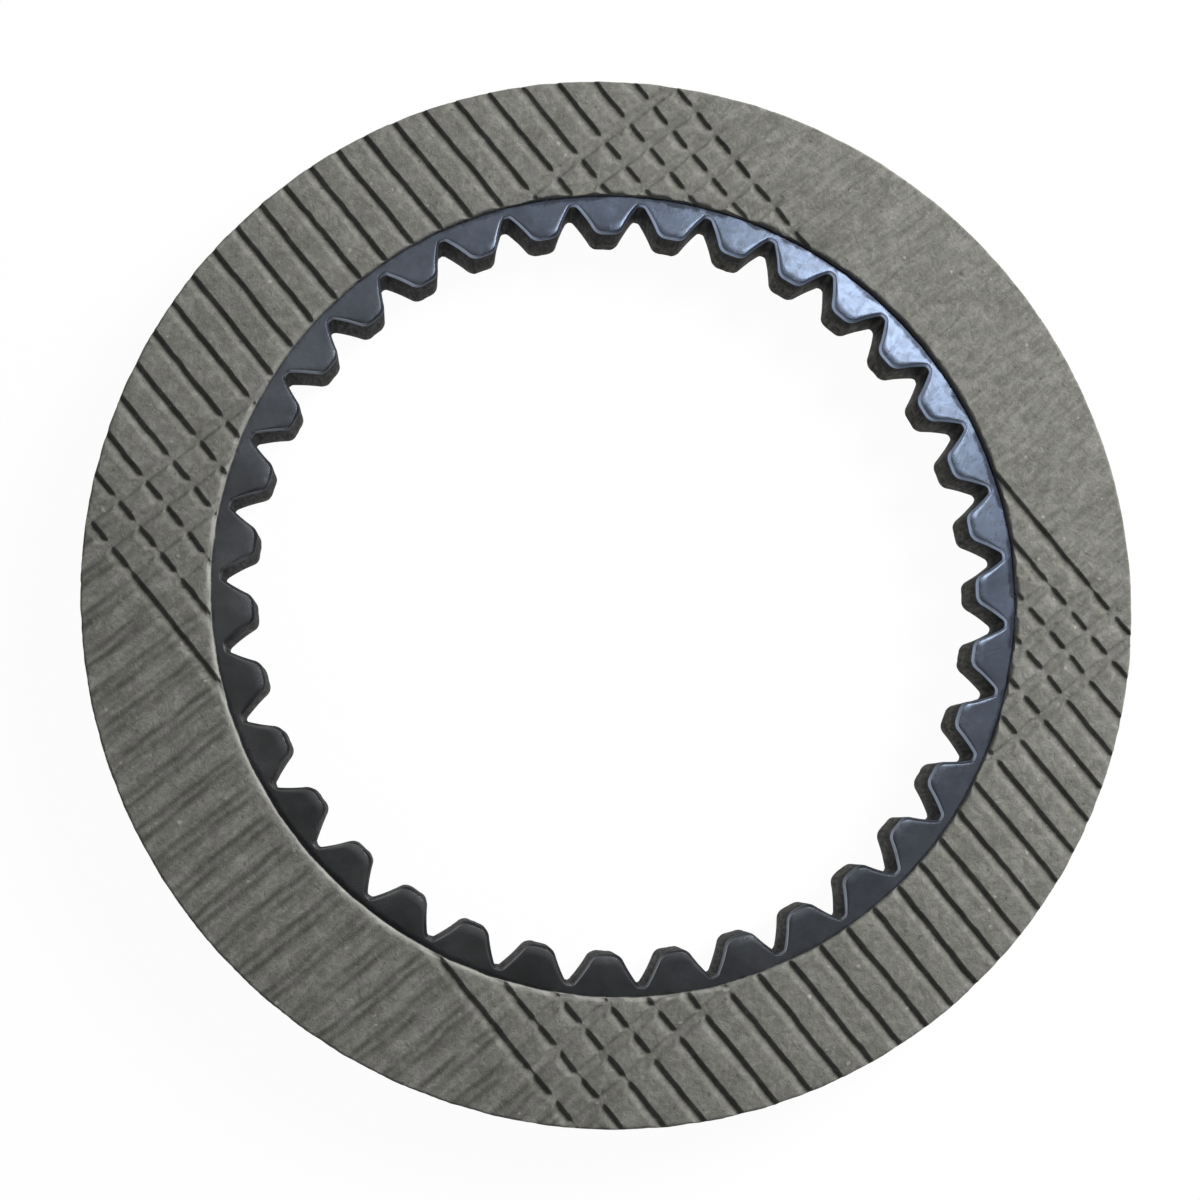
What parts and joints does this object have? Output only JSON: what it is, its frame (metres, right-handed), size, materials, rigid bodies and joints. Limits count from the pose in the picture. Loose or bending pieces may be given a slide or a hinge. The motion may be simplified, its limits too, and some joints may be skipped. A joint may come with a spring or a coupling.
{
  "type": "clutch disc",
  "caption": "Flat wet-clutch friction disc: a steel ring with an internal spline and a grooved friction ring bonded to each face, which carries torque when clamped between plates.",
  "frame": {"origin": "on the disc's axis, in the plane of the lower friction face that the disc rests on", "axes": "+Z along the disc's axis, from the lower friction face to the upper one; +X and +Y lie in the disc, with one groove family 38.5 degrees from +X towards +Y and the other square to it"},
  "size_m": [0.124, 0.124, 0.0076],
  "materials": {
    "core_steel": "bare stamped steel with a dark blue-grey oiled sheen",
    "friction_paper": "matt olive-grey paper-based friction material with a fibrous surface"
  },
  "bodies": {
    "root": {"core_plate": "core_steel", "top_facing": "friction_paper", "bottom_facing": "friction_paper"}
  },
  "joints": []
}
